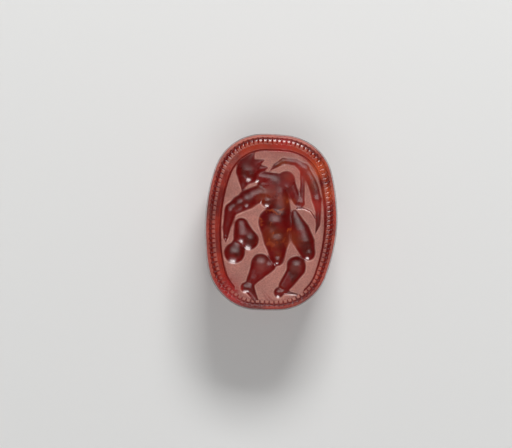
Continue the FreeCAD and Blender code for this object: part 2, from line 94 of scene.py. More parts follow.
def oval_reach(angle, inset, shortening=0.0):
    """Distance from the middle to the outline drawn in by the inset, in each direction."""
    side, corner, end = oval_centres(shortening)
    across, along = np.abs(np.cos(angle)), np.abs(np.sin(angle))
    turns = []
    for centre in (side, end):
        outward = (corner - centre) / np.linalg.norm(corner - centre)
        meeting = corner + outward * (CORNER_RADIUS - inset)
        turns.append(math.atan2(meeting[1], meeting[0]))
    reaches = []
    for centre, radius in ((side, SIDE_RADIUS), (corner, CORNER_RADIUS), (end, END_RADIUS)):
        ahead = across * centre[0] + along * centre[1]
        square = ahead**2 - centre @ centre + (radius - inset) ** 2
        reaches.append(ahead + np.sqrt(np.clip(square, 0, None)))
    direction = np.arctan2(along, across)
    past_side = np.where(direction > turns[1], reaches[2], reaches[1])
    return np.where(direction < turns[0], reaches[0], past_side)


def oval_body(rings, around):
    """A closed body through ovals, each with an inset, a shortening, a height and a shift."""
    bm = bmesh.new()
    bmesh.ops.create_circle(bm, cap_ends=True, segments=around, radius=1)
    ring = list(bm.verts)
    middle = 0.0
    for index, (inset, shortening, height, shift) in enumerate(rings):
        if index > 0:
            edges = [edge for edge in bm.edges if all(vert in ring for vert in edge.verts)]
            made = bmesh.ops.extrude_edge_only(bm, edges=edges)
            ring = [item for item in made["geom"] if isinstance(item, bmesh.types.BMVert)]
        angles = np.array([math.atan2(vert.co.y - middle, vert.co.x) for vert in ring])
        middle = shift
        for vert, angle, reach in zip(ring, angles, oval_reach(angles, inset, shortening)):
            vert.co = (reach * math.cos(angle), shift + reach * math.sin(angle), height)
        ring = set(ring)
    edges = [edge for edge in bm.edges if all(vert in ring for vert in edge.verts)]
    bmesh.ops.edgeloop_fill(bm, edges=edges)
    bmesh.ops.recalc_face_normals(bm, faces=bm.faces)
    return bm


def with_modifiers(mesh, *modifiers):
    """The mesh after modifiers, each given as its type and its settings."""
    holder = bpy.data.objects.new(mesh.name, mesh)
    scene.collection.objects.link(holder)
    for kind, settings in modifiers:
        modifier = holder.modifiers.new(kind.lower(), kind)
        for setting, value in settings.items():
            setattr(modifier, setting, value)
    graph = bpy.context.evaluated_depsgraph_get()
    result = bpy.data.meshes.new_from_object(holder.evaluated_get(graph))
    bpy.data.objects.remove(holder)
    return result


def even_skin(bm, name, grain):
    """The body's surface made again in even small faces."""
    mesh = bpy.data.meshes.new(name)
    bm.to_mesh(mesh)
    bm.free()
    return with_modifiers(mesh, ("REMESH", {"mode": "VOXEL", "voxel_size": grain}))


def points_of(mesh):
    """The mesh's points as rows of x, y and z."""
    points = np.zeros(len(mesh.vertices) * 3)
    mesh.vertices.foreach_get("co", points)
    return points.reshape(-1, 3)


def set_points(mesh, points):
    """Moves the mesh's points."""
    mesh.vertices.foreach_set("co", points.ravel())
    mesh.update()


def finish_piece(mesh, name, material, *nodes):
    """Puts a finished mesh in place as a piece that stands for its CAD nodes."""
    mesh.transform(Matrix.Scale(MM, 4))
    mesh.name = name
    mesh.polygons.foreach_set("use_smooth", [True] * len(mesh.polygons))
    mesh.materials.clear()
    mesh.materials.append(material)
    piece = bpy.data.objects.new(name, mesh)
    scene.collection.objects.link(piece)
    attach(piece, "root")
    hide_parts(*nodes)
    return piece


# Figure: a nude man striding to the left, ground into the face with round-ended drills and
# small wheels. Each stroke has a depth share, then the places that the tool passed: shares
# of the half width across, of the half length up, and of the half width for the cut's radius.
FIGURE_SHARES = {
    "head": [
        (0.30, (-0.375, 0.57, 0.20)),
        (0.42, (-0.345, 0.52, 0.125)),
        (0.34, (-0.42, 0.62, 0.13), (-0.30, 0.78, 0.02)),
        (0.34, (-0.27, 0.655, 0.075), (-0.145, 0.70, 0.015)),
        (0.30, (-0.26, 0.59, 0.10), (-0.10, 0.615, 0.025)),
    ],
    "beard": [
        (0.32, (-0.43, 0.47, 0.105), (-0.455, 0.355, 0.02)),
    ],
    "neck and shoulders": [
        (0.28, (-0.22, 0.51, 0.10), (0.04, 0.485, 0.115)),
        (0.26, (-0.14, 0.42, 0.095), (0.09, 0.44, 0.15)),
        (0.28, (0.20, 0.49, 0.145)),
    ],
    "trunk": [
        (0.28, (-0.12, 0.32, 0.10), (0.09, 0.335, 0.17), (0.125, 0.12, 0.185)),
        (0.32, (-0.065, 0.24, 0.11), (0.02, 0.265, 0.10)),
        (0.34, (0.06, 0.0, 0.26)),
        (0.30, (0.075, -0.05, 0.24), (0.10, -0.195, 0.205)),
    ],
    "right arm": [
        (0.30, (-0.19, 0.32, 0.14), (-0.36, 0.255, 0.155)),
        (0.36, (-0.37, 0.245, 0.155)),
        (0.34, (-0.38, 0.235, 0.15), (-0.61, 0.125, 0.115)),
        (0.37, (-0.48, 0.20, 0.13)),
        (0.38, (-0.62, 0.09, 0.105), (-0.665, -0.08, 0.075), (-0.672, -0.19, 0.045)),
        (0.38, (-0.672, -0.19, 0.045), (-0.665, -0.25, 0.012)),
    ],
    "left arm": [
        (0.25, (0.23, 0.48, 0.115), (0.385, 0.255, 0.075)),
        (0.24, (0.43, 0.23, 0.078)),
        (0.26, (0.455, 0.24, 0.055), (0.455, 0.44, 0.045), (0.43, 0.57, 0.03)),
    ],
    "held fruit": [
        (0.34, (-0.445, -0.04, 0.115), (-0.42, -0.16, 0.15)),
        (0.28, (-0.42, -0.07, 0.115), (-0.33, -0.19, 0.145)),
        (0.26, (-0.31, -0.215, 0.155)),
        (0.24, (-0.46, -0.17, 0.09), (-0.50, -0.30, 0.10)),
        (0.27, (-0.525, -0.365, 0.17)),
    ],
    "front leg": [
        (0.34, (0.10, -0.195, 0.205), (0.125, -0.40, 0.12)),
        (0.50, (0.13, -0.425, 0.10)),
        (0.30, (-0.12, -0.47, 0.16)),
        (0.28, (-0.17, -0.52, 0.12), (-0.265, -0.70, 0.08)),
        (0.32, (0.015, -0.49, 0.108), (-0.21, -0.655, 0.08)),
        (0.30, (-0.33, -0.745, 0.09)),
        (0.36, (-0.27, -0.75, 0.085), (-0.15, -0.875, 0.025)),
        (0.60, (-0.30, -0.81, 0.018), (-0.18, -0.90, 0.015)),
    ],
    "rear leg": [
        (0.30, (0.355, 0.12, 0.058), (0.465, -0.08, 0.15), (0.52, -0.20, 0.17), (0.58, -0.32, 0.125)),
        (0.26, (0.35, 0.07, 0.06), (0.40, -0.08, 0.11), (0.44, -0.17, 0.13)),
        (0.34, (0.595, -0.335, 0.115)),
        (0.32, (0.42, -0.48, 0.16)),
        (0.36, (0.35, -0.54, 0.09), (0.225, -0.71, 0.07)),
        (0.34, (0.46, -0.52, 0.115), (0.27, -0.74, 0.075)),
        (0.30, (0.175, -0.79, 0.09)),
        (0.45, (0.235, -0.78, 0.05), (0.45, -0.80, 0.018)),
    ],
    "cloak": [
        (0.25, (-0.05, 0.585, 0.012), (0.035, 0.645, 0.045), (0.15, 0.70, 0.055)),
        (0.19, (0.15, 0.70, 0.055), (0.34, 0.69, 0.065), (0.47, 0.625, 0.08)),
        (0.22, (0.47, 0.625, 0.08), (0.575, 0.50, 0.085), (0.64, 0.39, 0.085), (0.68, 0.28, 0.082)),
        (0.30, (0.68, 0.28, 0.082), (0.712, 0.15, 0.055), (0.716, 0.0, 0.045), (0.685, -0.10, 0.012)),
        (0.60, (0.385, 0.17, 0.016), (0.50, 0.175, 0.016), (0.60, 0.145, 0.016), (0.67, 0.07, 0.014)),
    ],
}
CLEAR_ABOVE = -1.0
RIDGE_SOFTNESS = 0.09
EDGE_SOFTNESS = 0.04


def stroke_depth(x, y, start, end, depth_share):
    """Depth cut at each point by a ball drawn from start to end while its radius changes."""
    ball_share = (1 + depth_share**2) / (2 * depth_share)
    above_share = (1 - depth_share**2) / (2 * depth_share)
    first_radius, growth = start[2] * ball_share, (end[2] - start[2]) * ball_share
    first_height, climb = start[2] * above_share, (end[2] - start[2]) * above_share
    run_x, run_y = end[0] - start[0], end[1] - start[1]
    off_x, off_y = x - start[0], y - start[1]
    square = growth**2 - run_x**2 - run_y**2
    linear = 2 * (first_radius * growth + off_x * run_x + off_y * run_y)
    plain = first_radius**2 - off_x**2 - off_y**2
    if square < 0:
        steep = square - climb**2
        reach = np.sqrt(np.clip(steep * (4 * square * plain - linear**2), 0, None))
        passed = np.clip((climb * reach / abs(steep) - linear) / (2 * square), 0, 1)
    else:
        passed = np.zeros_like(plain)
    inside = square * passed**2 + linear * passed + plain
    depth = np.sqrt(np.clip(inside, 0, None)) - first_height - climb * passed
    return np.where(inside > 0, depth, CLEAR_ABOVE)


def merge_cuts(first, second, softness):
    """The deeper of two cuts, with the edge between them rounded off."""
    near = np.clip(softness - np.abs(first - second), 0, None) / softness
    return np.maximum(first, second) + near**2 * softness / 4


def figure_depth(x, y):
    """Depth of the engraved figure at each point of the face."""
    depth = np.full_like(x, CLEAR_ABOVE)
    for strokes in FIGURE_SHARES.values():
        for depth_share, *stations in strokes:
            places = [(across * half_width, up * half_length, radius * half_width)
                      for across, up, radius in stations]
            cut = np.full_like(x, CLEAR_ABOVE)
            for start, end in zip(places, places[1:] or places):
                cut = np.maximum(cut, stroke_depth(x, y, start, end, depth_share))
            depth = merge_cuts(depth, cut, RIDGE_SOFTNESS)
    return merge_cuts(depth, np.zeros_like(x), EDGE_SOFTNESS)


# Border: a shallow channel round the face, crossed by short strokes so that it looks like
# a rope, and a fine line inside it that stops at the figure's feet.
ROPE_INSET = 0.36
ROPE_WIDTH = 0.5
ROPE_LINE_WIDTH = 0.3
ROPE_LINE_FLOOR = 0.25
ROPE_DEPTH = 0.09
ROPE_PITCH = 0.40
ROPE_STROKE_RADIUS = 0.11
ROPE_TIP_RADIUS = 0.06
ROPE_DEPTH_SHARE = 0.8
ROPE_MARGIN_SHARE = 0.8
ROPE_SOFTNESS = 0.03
LINE_INSET = 1.08
LINE_WIDTH = 0.16
LINE_DEPTH = 0.09
LINE_FLOOR = 0.5
LINE_PROFILE = 1.3
LINE_SHIFT = (0.16, -0.2)
LINE_GAP = 5.8
WALK_STEPS = 4000


def band_depth(inset, near, width, depth, floor, softness):
    """Depth of a line that starts at the inset called near; floor is its deepest share."""
    across = (inset - near) / width - floor
    away = np.where(across < 0, across / floor, across / (1 - floor))
    cut = depth * (1 - np.abs(away) ** LINE_PROFILE)
    return merge_cuts(np.zeros_like(inset), cut, softness)


def rope_places():
    """Start and end of each short stroke across the channel, evenly spaced round the oval."""
    angles = np.linspace(0, 2 * math.pi, WALK_STEPS + 1)
    reach = oval_reach(angles, ROPE_INSET + ROPE_WIDTH / 2)
    x, y = reach * np.cos(angles), reach * np.sin(angles)
    walked = np.concatenate(([0], np.cumsum(np.hypot(np.diff(x), np.diff(y)))))
    count = round(walked[-1] / ROPE_PITCH)
    stops = np.arange(count) * walked[-1] / count
    outward = np.stack((np.gradient(y, walked), -np.gradient(x, walked)))
    outward /= np.hypot(*outward)
    half_stroke = ROPE_WIDTH / 2 * ROPE_MARGIN_SHARE
    for stop in stops:
        place_x, place_y = np.interp(stop, walked, x), np.interp(stop, walked, y)
        out_x = np.interp(stop, walked, outward[0]) * half_stroke
        out_y = np.interp(stop, walked, outward[1]) * half_stroke
        start = (place_x + out_x, place_y + out_y, ROPE_STROKE_RADIUS)
        end = (place_x - out_x, place_y - out_y, ROPE_TIP_RADIUS)
        yield start, end


def line_places(x, y):
    """How far inside the fine line's own oval each point lies, and whether it is at the feet."""
    x, y = x - LINE_SHIFT[0], y - LINE_SHIFT[1]
    return oval_inset(x, y), (np.abs(x) < LINE_GAP / 2) & (y < 0)


def border_depth(x, y):
    """Depth of the rope channel, its strokes and the fine line at each point."""
    inset = oval_inset(x, y)
    depth = band_depth(
        inset, ROPE_INSET, ROPE_LINE_WIDTH, ROPE_DEPTH, ROPE_LINE_FLOOR, ROPE_SOFTNESS
    )
    near_rope = np.abs(inset - ROPE_INSET - ROPE_WIDTH / 2) < ROPE_WIDTH
    rope_x, rope_y, rope = x[near_rope], y[near_rope], depth[near_rope]
    for start, end in rope_places():
        close = np.hypot(rope_x - start[0], rope_y - start[1]) < 2 * ROPE_WIDTH
        cut = stroke_depth(rope_x[close], rope_y[close], start, end, ROPE_DEPTH_SHARE)
        rope[close] = merge_cuts(rope[close], cut, ROPE_SOFTNESS)
    depth[near_rope] = rope
    line_inset, feet = line_places(x, y)
    line = band_depth(line_inset, LINE_INSET, LINE_WIDTH, LINE_DEPTH, LINE_FLOOR, ROPE_SOFTNESS)
    return np.maximum(depth, np.where(feet, 0, line))


def face_depth(x, y):
    """Depth of everything cut into the face."""
    return merge_cuts(figure_depth(x, y), border_depth(x, y), ROPE_SOFTNESS)


# The outline was ground by hand: each bulge has its angle from +X and its width, both in
# degrees, and its height.
BULGES = (
    (222, 17, 0.17),
    (250, 16, 0.12),
    (118, 30, 0.09),
    (50, 22, 0.12),
    (0, 28, 0.10),
)
BULGE_SHARPNESS = 6


def hand_ground(points):
    """The points with the outline's slow bulges and flats."""
    angle = np.arctan2(points[:, 1], points[:, 0])
    nearness = np.hypot(points[:, 0], points[:, 1]) / oval_reach(angle, 0.0)
    shift = np.zeros_like(angle)
    for centre, width, height in BULGES:
        off = np.angle(np.exp(1j * (angle - math.radians(centre))))
        shift += height * np.exp(-(off / math.radians(width)) ** 2)
    shift *= nearness**BULGE_SHARPNESS
    moved = points.copy()
    moved[:, 0] += shift * np.cos(angle)
    moved[:, 1] += shift * np.sin(angle)
    return moved


def note(mesh, name, values):
    """Keeps a value for each point, which the material reads."""
    mesh.attributes.new(name, "FLOAT", "POINT").data.foreach_set("value", values)


BASE_GRAIN = 0.036
BASE_TRIANGLES = 185000
BASE_AROUND = 300
FACE_MARGIN = 0.02
LIP_WIDTH = 0.09
LIP_STEEPNESS = 0.12
BORDER_FADE = 0.15
LEAST_UPRIGHT = 0.2
SMOOTH_FACTOR = 0.5
base_rings = [
    (BASE_BEVEL, 0.0, base_foot, 0.0),
    (0.0, 0.0, base_foot + BASE_BEVEL, 0.0),
    (WALL_LEAN, 0.0, face_height - FACE_BEVEL, 0.0),
    (WALL_LEAN + FACE_BEVEL, 0.0, face_height, 0.0),
]
base_mesh = even_skin(oval_body(base_rings, BASE_AROUND), "seal_base", BASE_GRAIN)
points = points_of(base_mesh)
on_face = points[:, 2] > face_height - FACE_MARGIN
points[on_face, 2] -= face_depth(points[on_face, 0], points[on_face, 1])
set_points(base_mesh, points)
base_faces = sum(len(face.vertices) - 2 for face in base_mesh.polygons)
base_mesh = with_modifiers(
    base_mesh,
    ("SMOOTH", {"factor": SMOOTH_FACTOR, "iterations": 1}),
    ("DECIMATE", {"ratio": min(1.0, BASE_TRIANGLES / base_faces)}),
)
points = points_of(base_mesh)
inset = oval_inset(points[:, 0], points[:, 1])
on_face = inset > WALL_LEAN + FACE_BEVEL
note(base_mesh, "cut_depth", np.where(on_face, face_height - points[:, 2], 0.0))
note(base_mesh, "edge_inset", inset)
line_inset, feet = line_places(points[:, 0], points[:, 1])
past_rope = inset - ROPE_INSET - ROPE_WIDTH
past_line = line_inset - LINE_INSET - LINE_WIDTH
border_share = np.clip(0.5 - np.where(feet, past_rope, past_line) / BORDER_FADE, 0, 1)
note(base_mesh, "border", border_share)
normals = np.zeros(len(points) * 3)
base_mesh.vertex_normals.foreach_get("vector", normals)
upright = np.clip(normals[2::3], LEAST_UPRIGHT, 1.0)
steepness = np.sqrt(1 - upright**2) / upright
# Painted highlight: a pale line along the top of each cut's steep wall, where a worn edge catches the
# light.
cut = face_height - points[:, 2]
from_lip = cut / np.maximum(steepness, LIP_WIDTH)
lip_glint_share = np.exp(-(from_lip / LIP_WIDTH) ** 2)
lip_glint_share[(cut < 0) | (border_share > 0) | (steepness < LIP_STEEPNESS)] = 0.0
note(base_mesh, "lip", lip_glint_share)
set_points(base_mesh, hand_ground(points))

# Carnelian: translucent chalcedony, brown-red with red and amber clouds. The cuts are polished
# by the drill, and the flat face is worn to a grey-pink haze with fine grain and scratches.
# A range holds two values to go between and then, if they aren't 0 and 1, what these become.
CLOUD_FORM = (4.0, 0.8)
WARM_FORM = (2.0, 1.5)
WARM_SCALE_SHARE = 0.63
RED_CLOUDS = (0.38, 0.62)
AMBER_CLOUDS = (0.54, 0.74)
RAGGED_SCALE = 0.9
GRAIN_DETAIL = 4.0
SCRATCH_TURNS = (24, 71, 118)
SCRATCH_STRETCH = (0.04, 1.0, 0.1)
SCRATCH_DETAIL = 2.0
SCRATCH_LINES = (0.70, 0.78)
REFRACTION = 1.54
SCATTER_WEIGHT = 0.12
SCATTER_RADII = (1.0, 0.22, 0.10)
SCATTER_DEPTH = 0.9
BUMP_DEPTH = 0.02


def node(tree, kind, inputs=(), **settings):
    """A node with its settings and what its inputs hold or are linked to."""
    made = tree.nodes.new(kind)
    for name, value in settings.items():
        setattr(made, name, value)
    for name, value in dict(inputs).items():
        if isinstance(value, bpy.types.NodeSocket):
            tree.links.new(value, made.inputs[name])
        else:
            made.inputs[name].default_value = value
    return made


def mixed(tree, share, first, second):
    """A colour between two colours."""
    return node(tree, "ShaderNodeMix", {0: share, 6: first, 7: second}, data_type="RGBA").outputs[2]


def between(tree, share, first, second):
    """A value between two values."""
    return node(tree, "ShaderNodeMix", {0: share, 2: first, 3: second}).outputs[0]


def eased(tree, value, low, high, to_low=0.0, to_high=1.0):
    """A value brought smoothly from one range to another."""
    sockets = {"Value": value, "From Min": low, "From Max": high, "To Min": to_low, "To Max": to_high}
    return node(tree, "ShaderNodeMapRange", sockets, interpolation_type="SMOOTHSTEP").outputs["Result"]


def combined(tree, operation, first, second):
    """The result of one sum on two values."""
    return node(tree, "ShaderNodeMath", {0: first, 1: second}, operation=operation).outputs["Value"]


def noise(tree, place, scale, detail=3.0, distortion=0.0):
    """Soft noise at a scale given in cycles to the millimetre."""
    sockets = {"Vector": place, "Scale": scale, "Detail": detail, "Distortion": distortion}
    return node(tree, "ShaderNodeTexNoise", sockets).outputs["Fac"]


def noted(tree, name):
    """The value that each point of a mesh keeps under a name."""
    return node(tree, "ShaderNodeAttribute", attribute_name=name).outputs["Fac"]


def new_group(name, inputs, outputs):
    """An empty node group with its named inputs and outputs."""
    tree = bpy.data.node_groups.new(name, "ShaderNodeTree")
    for socket_name, kind, value in inputs:
        made = tree.interface.new_socket(name=socket_name, in_out="INPUT", socket_type=kind)
        made.default_value = value
    for socket_name, kind in outputs:
        tree.interface.new_socket(name=socket_name, in_out="OUTPUT", socket_type=kind)
    return tree, tree.nodes.new("NodeGroupInput").outputs, tree.nodes.new("NodeGroupOutput").inputs


def use_group(tree, group, inputs):
    """The outputs of a node group placed in a material with its own values."""
    return node(tree, "ShaderNodeGroup", inputs, node_tree=group).outputs


VECTOR, FLOAT, COLOR = "NodeSocketVector", "NodeSocketFloat", "NodeSocketColor"
ORIGIN = (0.0, 0.0, 0.0)
BLACK = (0.0, 0.0, 0.0, 1.0)

clouds_group, given, result = new_group("stone_clouds", [
    ("Place", VECTOR, ORIGIN), ("Scale", FLOAT, 1.0),
    ("Deep", COLOR, BLACK), ("Red", COLOR, BLACK), ("Amber", COLOR, BLACK),
], [("Color", COLOR)])
broad = noise(clouds_group, given["Place"], given["Scale"], *CLOUD_FORM)
wide = combined(clouds_group, "MULTIPLY", given["Scale"], WARM_SCALE_SHARE)
warm = noise(clouds_group, given["Place"], wide, *WARM_FORM)
red_share = eased(clouds_group, broad, *RED_CLOUDS)
amber_share = eased(clouds_group, warm, *AMBER_CLOUDS)
stone = mixed(clouds_group, red_share, given["Deep"], given["Red"])
stone = mixed(clouds_group, amber_share, stone, given["Amber"])
clouds_group.links.new(stone, result["Color"])

patch_group, given, result = new_group("clear_patch", [
    ("Place", VECTOR, ORIGIN), ("Centre", VECTOR, ORIGIN), ("Reach", FLOAT, 1.0),
], [("Mask", FLOAT)])
off_centre = node(patch_group, "ShaderNodeVectorMath",
                  {0: given["Place"], 1: given["Centre"]}, operation="DISTANCE").outputs["Value"]
ragged = combined(patch_group, "SUBTRACT", noise(patch_group, given["Place"], RAGGED_SCALE), 0.5)
ragged = combined(patch_group, "MULTIPLY", ragged, given["Reach"])
away = combined(patch_group, "ADD", off_centre, ragged)
patch_group.links.new(eased(patch_group, away, given["Reach"], 0.0), result["Mask"])

wear_group, given, result = new_group("worn_surface", [
    ("Place", VECTOR, ORIGIN), ("Grain Scale", FLOAT, 1.0), ("Scratch Scale", FLOAT, 1.0),
], [("Grain", FLOAT), ("Scratches", FLOAT)])
grain = noise(wear_group, given["Place"], given["Grain Scale"], GRAIN_DETAIL)
wear_group.links.new(grain, result["Grain"])
scratches = 0.0
for turn_degrees in SCRATCH_TURNS:
    turned = node(wear_group, "ShaderNodeMapping", {
        "Vector": given["Place"], "Rotation": (0.0, 0.0, math.radians(turn_degrees)),
        "Scale": SCRATCH_STRETCH}).outputs["Vector"]
    streaks = noise(wear_group, turned, given["Scratch Scale"], SCRATCH_DETAIL)
    scratches = combined(wear_group, "MAXIMUM", eased(wear_group, streaks, *SCRATCH_LINES), scratches)
wear_group.links.new(scratches, result["Scratches"])


def new_stone(name):
    """A stone material's tree, its shader and the place on the object in millimetres."""
    material = bpy.data.materials.new(name)
    material.use_nodes = True
    tree = material.node_tree
    shader = tree.nodes["Principled BSDF"]
    shader.inputs["IOR"].default_value = REFRACTION
    shader.inputs["Subsurface Weight"].default_value = SCATTER_WEIGHT
    shader.inputs["Subsurface Radius"].default_value = SCATTER_RADII
    shader.inputs["Subsurface Scale"].default_value = SCATTER_DEPTH * MM
    place = node(tree, "ShaderNodeTexCoord").outputs["Object"]
    place = node(tree, "ShaderNodeVectorMath", {0: place, "Scale": 1 / MM}, operation="SCALE")
    return material, tree, shader, place.outputs["Vector"]


def add_bump(tree, shader, height, strength):
    """Gives a stone the fine relief of its wear."""
    sockets = {"Height": height, "Strength": strength, "Distance": BUMP_DEPTH * MM}
    bump = node(tree, "ShaderNodeBump", sockets)
    tree.links.new(bump.outputs["Normal"], shader.inputs["Normal"])


# Colours of the engraved side: of the stone itself and of its wear, with painted light and shade:
# shade on the cut walls and the rim's outer wall, glow through the clearer stone, a highlight
# along the cut edges and reflections in the calves.
CUT_DEEP = (0.090, 0.0080, 0.0055, 1)
CUT_RED = (0.170, 0.0075, 0.0065, 1)
CUT_AMBER = (0.190, 0.0280, 0.0090, 1)
# Painted shade: the red that the steep walls of the cuts and the floors of the border's grooves are
# darkened to.
SHADED_WALL_RED = (0.130, 0.0010, 0.0010, 1)
BORDER_DEEP = (0.140, 0.0060, 0.0040, 1)
BORDER_RED = (0.330, 0.0230, 0.0100, 1)
BORDER_AMBER = (0.360, 0.0380, 0.0140, 1)
# Painted shade: the dark line on the stone's outer wall where it is seen edge on.
RIM_PAINTED_SHADE = (0.045, 0.0040, 0.0030, 1)
RIM_BROWN = (0.120, 0.0220, 0.0160, 1)
HAZE = (0.450, 0.172, 0.134, 1)
# Pale haze of worn edges and scratches, and the painted highlight along the cut edges.
EDGE_HAZE_AND_GLINT = (0.620, 0.310, 0.260, 1)
# Painted reflection: the pale pink spots in the calves' cuts.
REFLECTION_PINK = (0.320, 0.1150, 0.0950, 1)
BROWN_AMBER = (0.220, 0.034, 0.0110, 1)
# Clearer amber stone, painted brighter as a glow of light through it.
CLEAR_AMBER_GLOW = (0.520, 0.072, 0.0180, 1)
FLECK_AMBER = (0.380, 0.0620, 0.0140, 1)
# Clearer red stone, painted brighter as a glow of light through it.
CLEAR_RED_GLOW = (0.400, 0.018, 0.0160, 1)
WINE_RED = (0.350, 0.0260, 0.0190, 1)

# Patches of the engraved side: each has its place in shares of the half sizes, its reach in
# millimetres, and how strong it is or how much haze it adds.
FLECK_PATCH = ((0.06, 0.02), 3.3, 0.85)
CLEAR_PATCHES = (
    ((0.05, -0.16), 1.5, 0.75, BROWN_AMBER),
    ((-0.10, 0.30), 1.2, 0.60, BROWN_AMBER),
    ((0.36, -0.20), 1.2, 0.75, BROWN_AMBER),
    ((0.18, 0.25), 1.0, 0.60, BROWN_AMBER),
    ((0.40, 0.62), 1.9, 0.75, WINE_RED),
    ((0.66, 0.22), 2.0, 0.85, WINE_RED),
    ((-1.05, 0.10), 1.7, 0.75, RIM_BROWN),
    # Painted reflections in the cuts of the two calves.
    ((-0.12, -0.48), 0.9, 0.38, REFLECTION_PINK),
    ((0.42, -0.49), 0.8, 0.28, REFLECTION_PINK),
    # Clearer stone with a painted glow of light through it, at the upper right, the top and the lower
    # left.
    ((0.70, 0.64), 1.3, 0.90, CLEAR_AMBER_GLOW),
    ((0.86, 0.36), 1.0, 0.70, CLEAR_AMBER_GLOW),
    ((0.15, 0.90), 1.6, 0.70, CLEAR_RED_GLOW),
    ((-0.60, -0.88), 2.4, 0.90, CLEAR_RED_GLOW),
)
HAZE_CHANGES = (
    ((0.05, 0.88), 2.4, -0.30),
    ((0.66, 0.66), 2.2, -0.45),
    ((-0.95, 0.05), 3.0, -0.12),
    # Painted light: the border at the upper left is made paler where the light falls on it.
    ((-0.74, 0.72), 2.0, 0.25),
    ((-0.62, -0.84), 2.6, -0.55),
    ((0.98, 0.10), 3.0, -0.20),
)
DULL_CUTS = (
    ((0.20, 0.49), 1.1, 0.90),
    ((-0.34, 0.68), 1.2, 0.80),
    ((0.02, 0.38), 1.0, 0.60),
)

# Finish of the engraved side: the scales of its noise in cycles to the millimetre, and its
# ranges of depth, of inset from the outline, of height up the face and of steepness.
CUT_CLOUDS_SCALE = 0.42
BORDER_CLOUDS_SCALE = 0.30
WALL_SHADE_STEEPNESS = (0.99, 0.92, 0.0, 0.85)
SUNK_SHADE_DEPTH = (0.01, 0.07, 0.0, 0.85)
RIM_INSET = (0.34, 0.26)
GRAZING_BLEND = 0.5
GRAZING_VIEW = (0.70, 0.92)
EDGE_SHADE_SCALE = 0.35
EDGE_SHADE_RANGE = (0.38, 0.58, 0.35, 1.0)
FLECK_FORM = (1.3, 6.0, 0.6)
FLECKS = (0.55, 0.63)
FACE_WEAR = {"Grain Scale": 9.0, "Scratch Scale": 6.0}
GRAIN_RANGE = (0.3, 0.7)
GRAIN_SHADES = (0.80, 1.18)
HAZE_SCALE = 0.5
HAZE_SHARES = (0.72, 0.90)
BORDER_HAZE = (0.92, 0.84, 0.02, 0.34)
CLEAR_CORNER = (0.12, 0.30)
ROPE_OUTSIDE = (0.34, 0.42)
ROPE_INSIDE = (0.90, 0.82)
LOW_HAZE = (-6.9, -5.8, 0.3, 1.0)
ROPE_HAZE = (-5.2, -6.4, 0.14, 0.80)
TOP_LIT_HAZE = (5.6, 6.9, 0.0, 0.50)
FLAT_DEPTH = (0.035, 0.005)
LIP_SCALE = 1.1
SOFT_RANGE = (0.35, 0.65)
LIP_SHARES = (0.40, 1.0)
WORN_ROUGHNESS = (0.36, 0.48)
POLISH_SCALE = 3.0
POLISHED_ROUGHNESS = (0.17, 0.27)
DULL_ROUGHNESS = 0.6
BAND_INSIDE = (0.90, 1.0)
CUT_SHINE = (0.90, 0.80, 0.5, 0.08)
DULL_SHINE_SHARE = 0.35
BORDER_SHINE_SHARE = 0.55
RIM_SHINE = 0.36
FACE_BUMP = 0.25

face_stone, tree, shader, place = new_stone("engraved_carnelian")


def patch_mask(spot_shares, reach, strength):
    """Where a patch of the face is different, round a spot in shares of its half sizes."""
    centre = (spot_shares[0] * half_width, spot_shares[1] * half_length, face_height)
    patch = use_group(tree, patch_group, {"Place": place, "Centre": centre, "Reach": reach})
    return combined(tree, "MULTIPLY", patch["Mask"], strength)


def times(first, second):
    """One value or mask of the engraved side times another."""
    return combined(tree, "MULTIPLY", first, second)


depth = noted(tree, "cut_depth")
edge = noted(tree, "edge_inset")
border = noted(tree, "border")
upright = node(tree, "ShaderNodeTexCoord").outputs["Normal"]
upright = node(tree, "ShaderNodeSeparateXYZ", {"Vector": upright}).outputs["Z"]
cut_color = use_group(tree, clouds_group, {
    "Place": place, "Scale": CUT_CLOUDS_SCALE,
    "Deep": CUT_DEEP, "Red": CUT_RED, "Amber": CUT_AMBER})["Color"]
# Painted shade: the steeper a cut's wall, the darker it is made.
cut_color = mixed(tree, eased(tree, upright, *WALL_SHADE_STEEPNESS), cut_color, SHADED_WALL_RED)
border_color = use_group(tree, clouds_group, {
    "Place": place, "Scale": BORDER_CLOUDS_SCALE,
    "Deep": BORDER_DEEP, "Red": BORDER_RED, "Amber": BORDER_AMBER})["Color"]
# Painted shade: the border's grooves are made darker as they get deeper.
sunk = eased(tree, depth, *SUNK_SHADE_DEPTH)
border_color = mixed(tree, sunk, border_color, SHADED_WALL_RED)
clear_color = mixed(tree, border, cut_color, border_color)
for spot_shares, reach, strength, color in CLEAR_PATCHES:
    clear_color = mixed(tree, patch_mask(spot_shares, reach, strength), clear_color, color)
flecks = times(eased(tree, noise(tree, place, *FLECK_FORM), *FLECKS), patch_mask(*FLECK_PATCH))
clear_color = mixed(tree, flecks, clear_color, FLECK_AMBER)

# Painted shade: the rim's outer wall is darkened where it is seen edge on, broken up by noise.
rim = eased(tree, edge, *RIM_INSET)
grazing = node(tree, "ShaderNodeLayerWeight", {"Blend": GRAZING_BLEND}).outputs["Facing"]
grazing = times(eased(tree, grazing, *GRAZING_VIEW), rim)
edge_shade = times(grazing, eased(tree, noise(tree, place, EDGE_SHADE_SCALE), *EDGE_SHADE_RANGE))

